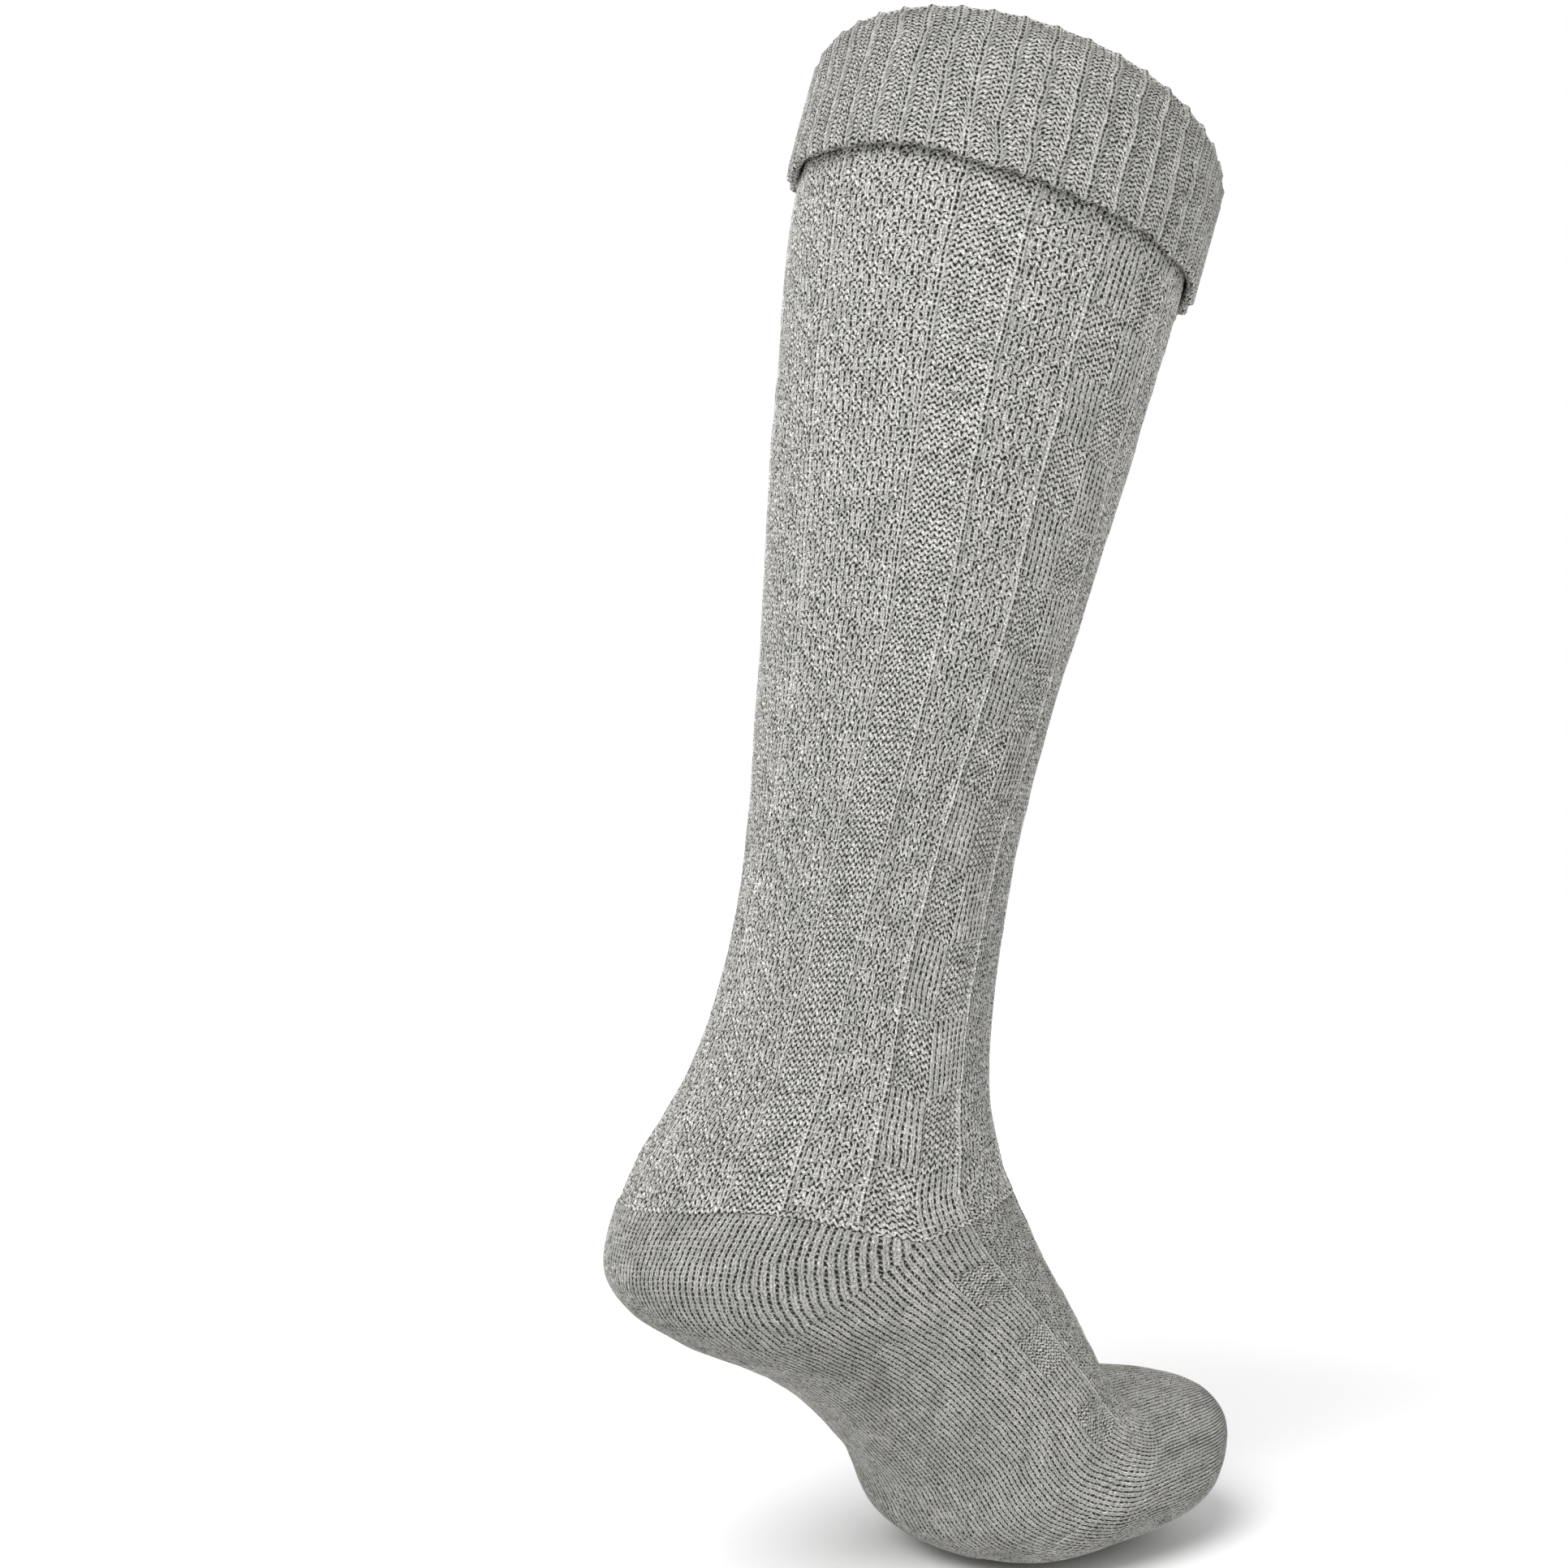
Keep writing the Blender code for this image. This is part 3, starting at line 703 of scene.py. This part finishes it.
@dataclass
class Fabric:
    """A wrapped grid of stitches that becomes one piece.

    Args:
        name: The piece's name.
        node: The solid that it replaces.
        slot: Its material slot in the record; not used.
    """

    name: str
    node: str
    slot: str

    def grid(self, columns: int, rows: int) -> tuple[bpy.types.Mesh, np.ndarray, np.ndarray]:
        """A flat grid mesh, and each vertex's column and row in it.

        Args:
            columns: Faces across.
            rows: Faces down.

        Returns:
            The mesh, and the whole column and row of each vertex.
        """
        shell = bmesh.new()
        bmesh.ops.create_grid(shell, x_segments=columns, y_segments=rows, size=0.5)
        mesh = bpy.data.meshes.new(self.name)
        shell.to_mesh(mesh)
        shell.free()
        flat = np.empty(len(mesh.vertices) * 3, np.float32)
        mesh.vertices.foreach_get("co", flat)
        places = np.rint((flat.reshape(-1, 3)[:, :2] + 0.5) * (columns, rows)).astype(int)
        return mesh, places[:, 0], places[:, 1]

    def finish(
        self,
        mesh: bpy.types.Mesh,
        points: np.ndarray,
        places: np.ndarray,
        stitch: np.ndarray,
        yarn: HeatheredYarn,
    ) -> bpy.types.Object:
        """Place the grid's vertices, close it and make it a piece of the sock.

        Args:
            mesh: The grid.
            points: A point for each vertex.
            places: The wale and course of each vertex.
            stitch: The kind of stitch of each face, as its value.
            yarn: The finish.

        Returns:
            The finished object.
        """
        mesh.vertices.foreach_set("co", points.astype(np.float32).ravel())
        corners = np.empty(len(mesh.loops), np.int32)
        mesh.loops.foreach_get("vertex_index", corners)
        uv = mesh.uv_layers.new(name="stitches")
        uv.data.foreach_set("uv", places[corners].astype(np.float32).ravel())
        chart = mesh.attributes.new("knit", "FLOAT", "FACE")
        chart.data.foreach_set("value", stitch.astype(np.float32))
        shell = bmesh.new()
        shell.from_mesh(mesh)
        bmesh.ops.remove_doubles(shell, verts=shell.verts, dist=WELD)
        if shell.calc_volume(signed=True) < 0:
            bmesh.ops.reverse_faces(shell, faces=shell.faces)
        shell.to_mesh(mesh)
        shell.free()
        mesh.shade_smooth()
        # The end of a piece is cut square, so that its shading runs on into the next piece.
        mesh.set_sharp_from_angle(angle=math.radians(80))
        mesh.materials.append(yarn.make())
        piece = bpy.data.objects.new(self.name, mesh)
        bpy.context.scene.collection.objects.link(piece)
        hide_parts(self.node)
        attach(piece, "root")
        triangles = sum(len(p.vertices) - 2 for p in mesh.polygons)
        LOG.info("%s: %d triangles", self.name, triangles)
        return piece

    @staticmethod
    def face_means(mesh: bpy.types.Mesh, values: np.ndarray) -> np.ndarray:
        """The mean of a value over each face's corners."""
        corners = np.empty(len(mesh.loops), np.int32)
        mesh.loops.foreach_get("vertex_index", corners)
        return values[corners].reshape(-1, 4).mean(1)


@dataclass
class Tube(Fabric):
    """A stretch of the sock between two seams, knitted outside and plain inside.

    Args:
        form: The sock's form.
        yarn: Its finish.
        span: First and last share of the way from seam to seam.
        total_courses: From seam to seam.
        inner_rows: Rows of faces down the inside.
        across: Faces to a wale.
        down: Faces to a course.
    """

    form: SockForm
    yarn: HeatheredYarn
    span: tuple[float, float] = (0.0, 1.0)
    total_courses: int = 100
    inner_rows: int = 10
    across: int = 4
    down: int = 2

    def seams(self, degrees: np.ndarray) -> tuple[np.ndarray, np.ndarray]:
        """Rows of the upper and the lower seam at these degrees."""
        raise NotImplementedError

    def wale_ends(self, degrees: np.ndarray) -> np.ndarray:
        """Degrees at which the wales reach the lower seam."""
        return degrees

    def courses(self, lines: WaleLines, share: np.ndarray) -> np.ndarray:
        """Course at each share of each line: the same number on every wale."""
        return share * self.total_courses

    def outer_rows(self) -> int:
        """Rows of faces down the outside."""
        return round((self.span[1] - self.span[0]) * self.total_courses * self.down)

    def chart(self, wale: np.ndarray, course: np.ndarray) -> tuple[np.ndarray, np.ndarray]:
        """Stitch, and the ground's height, for whole wales and courses."""
        return plain_chart(wale, course)

    def wales(self) -> tuple[float, float]:
        """First and last wale of the piece."""
        return -WALES / 2, WALES / 2

    def build(self) -> bpy.types.Object:
        """Knit the tube and return it as a finished piece."""
        first_wale, last_wale = self.wales()
        columns = round((last_wale - first_wale) * self.across)
        outer, inner = self.outer_rows(), self.inner_rows
        mesh, column, row = self.grid(columns, outer + inner + 2)
        wale_lines = first_wale + (last_wale - first_wale) * np.arange(columns + 1) / columns
        degrees = wale_lines * 360 / WALES
        top, bottom = self.seams(degrees)
        lines = WaleLines(self.form, degrees, self.wale_ends(degrees), top, bottom)
        loop = np.arange(outer + inner + 3) % (outer + inner + 2)
        share = np.where(loop <= outer, loop / outer, 1 - (loop - outer - 1) / inner)
        share = self.span[0] + (self.span[1] - self.span[0]) * share
        shares = np.repeat(share[None, :], columns + 1, 0)
        (turns, rows), courses = lines.places_at(shares), self.courses(lines, shares)
        outside, place, course = (loop <= outer)[row], rows[column, row], courses[column, row]
        wale, course = stray(wale_lines[column], course, WALES)
        height = relief(wale, course, self.chart)
        height = height + sum(w.at(wale_lines[column], courses[column, row], WALES) for w in SWELL)
        height = np.where(outside, height, -self.form.wall)
        points = self.form.raised(turns[column, row], place, height)
        points = self.reshape(points, shares[column, row], outside)
        middle_wale = np.floor(self.face_means(mesh, wale) + 0.5).astype(int)
        middle_course = np.floor(self.face_means(mesh, course)).astype(int)
        stitch, _ = self.chart(middle_wale, middle_course)
        return self.finish(mesh, points, np.stack([wale, course], -1), stitch, self.yarn)

    def reshape(self, points: np.ndarray, share: np.ndarray, outside: np.ndarray) -> np.ndarray:
        """A last change to the points, for a piece that needs one."""
        return points


@dataclass
class LegPart(Tube):
    """One stretch of the leg, from under the cuff to the heel and the instep."""

    total_courses: int = 164

    def seams(self, degrees: np.ndarray) -> tuple[np.ndarray, np.ndarray]:
        """From under the cuff's edge to the heel's upper seam."""
        top = np.full(degrees.shape, self.form.drop_row(self.form.cuff_drop - self.form.cuff_cover))
        return top, self.form.heel_top(degrees)

    def chart(self, wale: np.ndarray, course: np.ndarray) -> tuple[np.ndarray, np.ndarray]:
        """The body's chart, with one purl course over the heel."""
        stitch, ground = body_chart(wale, course)
        last = course >= self.total_courses - 1
        return np.where(last, Stitch.PURL.value, stitch), ground


@dataclass
class HiddenTop(Tube):
    """The top of the leg, which the cuff covers.

    Args:
        tuck: How far below the rim it starts, inside the roll.
    """

    tuck: float = 0.003
    across: int = 1
    down: float = 0.25
    total_courses: int = 32
    inner_rows: int = 6

    def seams(self, degrees: np.ndarray) -> tuple[np.ndarray, np.ndarray]:
        """From under the roll to the first course that shows."""
        top = np.full(degrees.shape, self.form.drop_row(self.tuck))
        last = self.form.drop_row(self.form.cuff_drop - self.form.cuff_cover)
        return top, np.full(degrees.shape, last)

    def chart(self, wale: np.ndarray, course: np.ndarray) -> tuple[np.ndarray, np.ndarray]:
        """Purl, sunk under the cuff."""
        return np.full(wale.shape, Stitch.PURL.value), np.full(wale.shape, -GAUGE.purl)


@dataclass
class Heel(Tube):
    """The plain wedge of the heel, whose courses shorten towards an apex on each side.

    Args:
        course_length: Length of one course, in metres.
        sweep: Power that turns the wales down and back, so that they meet the foot's at an angle.
        reach: Share of the way to the apex that is knitted, which keeps the last wale open.
    """

    course_length: float = 0.00145
    total_courses: int = 36
    sweep: float = 1.6
    reach: float = 0.999

    def wales(self) -> tuple[float, float]:
        """From apex to apex round the back."""
        last = self.form.heel_apex[0] * WALES / 360 * self.reach
        return -last, last

    def seams(self, degrees: np.ndarray) -> tuple[np.ndarray, np.ndarray]:
        """The heel's two seams."""
        return self.form.heel_top(degrees), self.form.heel_bottom(self.wale_ends(degrees))

    def wale_ends(self, degrees: np.ndarray) -> np.ndarray:
        """Further back than they start, most of all half way to the apex."""
        apex = self.form.heel_apex[0]
        ends = apex * (np.abs(degrees) / apex) ** self.sweep
        return np.sign(degrees) * np.where(np.abs(degrees) < apex, ends, np.abs(degrees))

    def courses(self, lines: WaleLines, share: np.ndarray) -> np.ndarray:
        """By real length from the upper seam."""
        return share * lines.lengths[:, None] / self.course_length


@dataclass
class Foot(Tube):
    """The tube from the heel to the toe: a plain sole, and the leg's pattern over the instep."""

    total_courses: int = 72

    def seams(self, degrees: np.ndarray) -> tuple[np.ndarray, np.ndarray]:
        """From the heel's lower seam to the toe's seam."""
        return self.form.heel_bottom(degrees), np.full(degrees.shape, self.form.toe_seam_row)

    def courses(self, lines: WaleLines, share: np.ndarray) -> np.ndarray:
        """Whole at the toe's seam, and cut off by the heel's gore on the sole."""
        apex = self.form.heel_apex[0]
        side = np.interp(apex, lines.degrees, lines.lengths)
        length = np.where(np.abs(lines.degrees) < apex, lines.lengths, side)
        return self.total_courses * (1 - (1 - share) * (length / side)[:, None])

    def chart(self, wale: np.ndarray, course: np.ndarray) -> tuple[np.ndarray, np.ndarray]:
        """Plain on the sole, and the leg's chart over the instep."""
        stitch, ground = body_chart(wale, course)
        sole = from_back(wale) * 360 / WALES < self.form.heel_apex[0]
        return np.where(sole, Stitch.KNIT.value, stitch), np.where(sole, 0.0, ground)


@dataclass
class Toe(Tube):
    """The plain cap over the toes, closed at its tip."""

    total_courses: int = 52

    def seams(self, degrees: np.ndarray) -> tuple[np.ndarray, np.ndarray]:
        """From the toe's seam to its tip."""
        return np.full(degrees.shape, self.form.toe_seam_row), np.full(degrees.shape, self.form.last_row)

    def reshape(self, points: np.ndarray, share: np.ndarray, outside: np.ndarray) -> np.ndarray:
        """Bring each wall together in one point at the tip."""
        tip = self.form.point(np.zeros(1), np.array([self.form.last_row]))[0]
        points = np.where((outside & (share == 1.0))[:, None], tip, points)
        inner_tip = tip + np.array([0.0, self.form.wall, 0.0])
        return np.where((~outside & (share == 1.0))[:, None], inner_tip, points)


@dataclass
class Cuff(Fabric):
    """The ribbed top, turned down over the leg: one knit wale to three purl.

    Args:
        form: The sock's form.
        yarn: Its finish.
        ribs: Ribs round the cuff.
        rib_wales: Wales from rib to rib.
        across: Faces to a wale.
        wall: Thickness of the turned-down layer.
        clearance: Between it and the leg inside it.
        flare: How much further out the free edge stands.
        total_courses: From the roll to the free edge.
        roll_courses: Over the roll.
        edge_rows: Rows of faces round the free edge.
        inner_rows: Rows of faces up behind it.
        twist: Degrees that the ribs lean from top to bottom.
        arch: How far the courses bow up between the ribs.
        rise: How much shorter the cuff is on the far side of low_side.
        crown: How much higher its rim stands there.
        low_side: Degrees where it is longest.
        crown_fade: From the rim down to where the crown ends.
        stand: How far a rib stands over the wales between.
        roll_turn: Degrees that the roll turns through.
        roll_sink: How far the inner start of the roll lies under the rim, in walls.
        bends: How the ribs wander, in wales.
        bent: Shares of that wander that the wales, the courses and the ribs take up.
        set_in: Drop at which the ribs lean fully, and drop at which the courses bow fully.
        hem: How the free edge wanders, in metres.
    """

    form: SockForm
    yarn: HeatheredYarn
    ribs: int = 42
    rib_wales: int = 4
    across: int = 4
    wall: float = 0.0030
    clearance: float = 0.0006
    flare: float = 0.0004
    total_courses: int = 32
    roll_courses: int = 4
    edge_rows: int = 5
    inner_rows: int = 4
    twist: float = 3.0
    arch: float = 0.0007
    rise: float = 0.0150
    crown: float = 0.0035
    low_side: float = 48.0
    crown_fade: float = 0.02
    stand: float = 0.0009
    roll_turn: float = 110.0
    roll_sink: float = 0.6
    bends: tuple[Wander, ...] = (Wander((7, 7), 0.45, 21), Wander((3, 3), 0.14, 22))
    bent: tuple[float, float, float] = (0.30, 0.35, 0.70)
    set_in: tuple[float, float] = (0.010, 0.004)
    hem: Wander = Wander((6, 64), 0.0012, 23)

    def chart(self, wale: np.ndarray, course: np.ndarray) -> tuple[np.ndarray, np.ndarray]:
        """Stitch, and the ground's height, for whole wales and courses."""
        is_rib = wale % self.rib_wales == 0
        return np.where(is_rib, Stitch.RIB.value, Stitch.PURL.value), np.where(is_rib, self.stand, 0.0)

    def build(self) -> bpy.types.Object:
        """Knit the cuff and return it as a finished piece."""
        wales = self.ribs * self.rib_wales
        columns = wales * self.across
        roll, outer = self.roll_courses * 2, self.total_courses * 2
        rows = roll + outer + self.edge_rows + self.inner_rows + 2
        mesh, column, row = self.grid(columns, rows)
        wale, loop = column / self.across, row % rows
        degrees = wale * 360 / wales
        far = (1 - np.cos(np.radians(degrees - self.low_side))) / 2
        length = self.form.cuff_drop - self.rise * far
        length = length + self.hem.at(wale, np.zeros(wale.shape), wales)
        drop, height, course, shown = self.profile(loop, roll, outer, length)
        crowned = np.clip(1 - drop / self.crown_fade, 0, 1) * (loop > 0) * (loop <= roll + outer)
        drop = drop - self.crown * far * crowned
        bend = sum(w.at(wale, course, wales) for w in self.bends)
        u = wale + self.bent[0] * bend
        v = course + self.bent[1] * self.bends[1].at(wale + 9, course, wales)
        bumps = relief(u, v, self.chart) * shown
        leaning, bowing = (np.clip(drop / start, 0, 1) for start in self.set_in)
        lean = self.twist * drop / self.form.cuff_drop - self.bent[2] * bend * 360 / wales * leaning
        bow = self.arch * np.cos(2 * np.pi * wale / self.rib_wales) * shown * bowing
        points = self.form.raised(degrees + lean, self.form.drop_row(drop + bow), height + bumps)
        middle_wale = np.floor(self.face_means(mesh, u) + 0.5).astype(int)
        middle_course = np.floor(self.face_means(mesh, v)).astype(int)
        stitch, _ = self.chart(middle_wale, middle_course)
        return self.finish(mesh, points, np.stack([u, v], -1), stitch, self.yarn)

    def profile(self, loop: np.ndarray, roll: int, outer: int, length: np.ndarray) -> tuple[np.ndarray, ...]:
        """The cuff's section, from the inside over the roll and down to the free edge.

        Args:
            loop: Row in the grid.
            roll: Rows over the roll.
            outer: Rows down the outside.
            length: From the rim to the free edge.

        Returns:
            Drop below the rim, height over the form, course, and share of the relief that shows.
        """
        outside = self.clearance + self.wall
        middle, half = (outside - self.form.wall) / 2, (outside + self.form.wall) / 2
        angle, last = np.radians(np.clip(loop / roll, 0, 1) * self.roll_turn), math.radians(self.roll_turn)
        drop_roll = self.wall * (self.roll_sink - np.sin(angle))
        height_roll = middle - half * np.cos(angle)
        drop_start = self.wall * (self.roll_sink - math.sin(last))
        height_start = middle - half * math.cos(last)
        down = np.clip((loop - roll) / outer, 0, 1)
        drop_out = drop_start + (length - self.wall / 2 - drop_start) * down
        height_out = height_start + (outside - height_start) * np.clip(down * 8, 0, 1) + self.flare * down**2
        turn = np.radians(np.clip((loop - roll - outer) / self.edge_rows, 0, 1) * 180)
        drop_edge = length - self.wall / 2 + np.sin(turn) * self.wall / 2
        height_edge = self.clearance + self.flare + self.wall / 2 + np.cos(turn) * self.wall / 2
        back = np.clip((loop - roll - outer - self.edge_rows) / self.inner_rows, 0, 1)
        drop_in = length - self.wall / 2 - (length - self.wall * 1.5) * back
        height_in = self.clearance + self.flare * (1 - back)
        is_roll, is_out = loop <= roll, loop <= roll + outer
        is_edge = loop <= roll + outer + self.edge_rows
        is_last = loop > roll + outer + self.edge_rows + self.inner_rows
        stretches = [is_roll, is_out, is_edge, is_last]
        drop = np.select(stretches, [drop_roll, drop_out, drop_edge, drop_in], drop_in)
        inside = np.full(loop.shape, -self.form.wall)
        height = np.select(stretches, [height_roll, height_out, height_edge, inside], height_in)
        shown = np.where(is_out, 1.0, np.where(is_edge, np.cos(turn / 2), 0.0))
        return drop, height, loop / 2, shown


@dataclass(frozen=True)
class Studio:
    """Pale floor, soft light and the camera at the photograph's angle.

    Args:
        eye: Where the camera stands.
        look: The way it looks.
        lens: Focal length on a 36 mm sensor, in millimetres.
        floor: Height of the floor.
        floor_radius: How far it reaches.
        key: Towards the key light.
        key_strength: Its strength.
        key_width: Its apparent width in degrees, which softens the shadows.
        sky: Brightness of the walls at eye level and of the ceiling.
        cornice: Heights, as sines of the elevation, between which one turns into the other.
    """

    eye: tuple[float, float, float] = (-0.5063, 0.4560, -0.2458)
    look: tuple[float, float, float] = (0.8134, -0.5796, 0.0487)
    lens: float = 47.68
    floor: float = -0.4553
    floor_radius: float = 30.0
    key: tuple[float, float, float] = (-0.42, 0.95, 1.15)
    key_strength: float = 2.7
    key_width: float = 35.0
    sky: tuple[float, float] = (1.0, 0.5)
    cornice: tuple[float, float] = (0.5, 0.8)

    def build(self) -> None:
        """Set the stage."""
        self.lay_floor()
        self.paint_room()
        self.hang_key()
        self.place_camera()
        bpy.context.scene.view_settings.view_transform = "Standard"
        LOG.info("studio: floor, lights and camera")

    def lay_floor(self) -> None:
        """A wide pale floor."""
        shell = bmesh.new()
        bmesh.ops.create_circle(shell, cap_ends=True, segments=96, radius=self.floor_radius)
        bmesh.ops.translate(shell, verts=shell.verts, vec=(0.0, 0.0, self.floor))
        mesh = bpy.data.meshes.new("floor")
        shell.to_mesh(mesh)
        shell.free()
        # White paper: matt, so that the sock leaves a soft shadow and no reflection.
        material = bpy.data.materials.new("white_paper")
        material.use_nodes = True
        shader = material.node_tree.nodes["Principled BSDF"]
        shader.inputs["Base Color"].default_value = linear("#F4F4F4")
        shader.inputs["Roughness"].default_value = 0.9
        shader.inputs["Specular IOR Level"].default_value = 0.1
        mesh.materials.append(material)
        floor = bpy.data.objects.new("floor", mesh)
        bpy.context.scene.collection.objects.link(floor)

    def paint_room(self) -> None:
        """White walls all round, and a darker ceiling so that the key light models the stitches."""
        world = bpy.data.worlds.new("white_room")
        world.use_nodes = True
        graph = Graph(world.node_tree)
        way = graph.node("ShaderNodeTexCoord").outputs["Generated"]
        up = graph.node("ShaderNodeSeparateXYZ", {0: way}).outputs[2]
        strength = graph.mix(graph.ramp(up, *self.cornice, "SMOOTHSTEP"), *self.sky)
        background = world.node_tree.nodes["Background"]
        background.inputs[0].default_value = (1.0, 1.0, 1.0, 1.0)
        world.node_tree.links.new(strength, background.inputs[1])
        bpy.context.scene.world = world

    def hang_key(self) -> None:
        """A broad soft light from high behind the heel, a little to the inner side."""
        light = bpy.data.lights.new("key", "SUN")
        light.energy = self.key_strength
        light.angle = math.radians(self.key_width)
        self.aim(light, "key", (0.0, 0.0, 2.0), -Vector(self.key))

    def place_camera(self) -> None:
        """The camera, level with the shin and looking a little up."""
        lens = bpy.data.cameras.new("camera")
        lens.lens = self.lens
        lens.sensor_width = 36.0
        bpy.context.scene.camera = self.aim(lens, "camera", self.eye, Vector(self.look))

    @staticmethod
    def aim(data: bpy.types.ID, name: str, place: tuple[float, ...], way: Vector) -> bpy.types.Object:
        """Add a lamp or a camera that looks along way."""
        thing = bpy.data.objects.new(name, data)
        thing.location = place
        thing.rotation_mode = "QUATERNION"
        thing.rotation_quaternion = way.to_track_quat("-Z", "Y")
        bpy.context.scene.collection.objects.link(thing)
        return thing


def main() -> None:
    """Knit each piece in order and set the stage."""
    logging.basicConfig(level=logging.INFO, format="%(name)s: %(message)s")
    form = SockForm()
    # The heel's, the foot's and the toe's yarn is the leg's, painted a little darker as painted shade; the
    # cuff's yarn is a little darker still.
    ribbed = HeatheredYarn("heathered_wool_rib_knit", light="#F1EFE9", dark="#9A9A97")
    patterned = HeatheredYarn("heathered_wool_textured_knit")
    plain = HeatheredYarn("heathered_wool_stockinette", light="#F3F1EB", dark="#9B9B98")
    Cuff("cuff_knit", "cuff", "ribbed_knit", form, ribbed).build()
    HiddenTop("leg_top_knit", "leg", "patterned_knit", form, patterned).build()
    for name, start, end in LEG_PARTS:
        span = (start / LegPart.total_courses, end / LegPart.total_courses)
        LegPart(f"leg_{name}_knit", "leg", "patterned_knit", form, patterned, span).build()
    Heel("heel_knit", "heel", "plain_knit", form, plain).build()
    Foot("foot_knit", "foot", "plain_knit", form, plain).build()
    Toe("toe_knit", "toe", "plain_knit", form, plain).build()
    Studio().build()


if __name__ == "__main__":
    main()
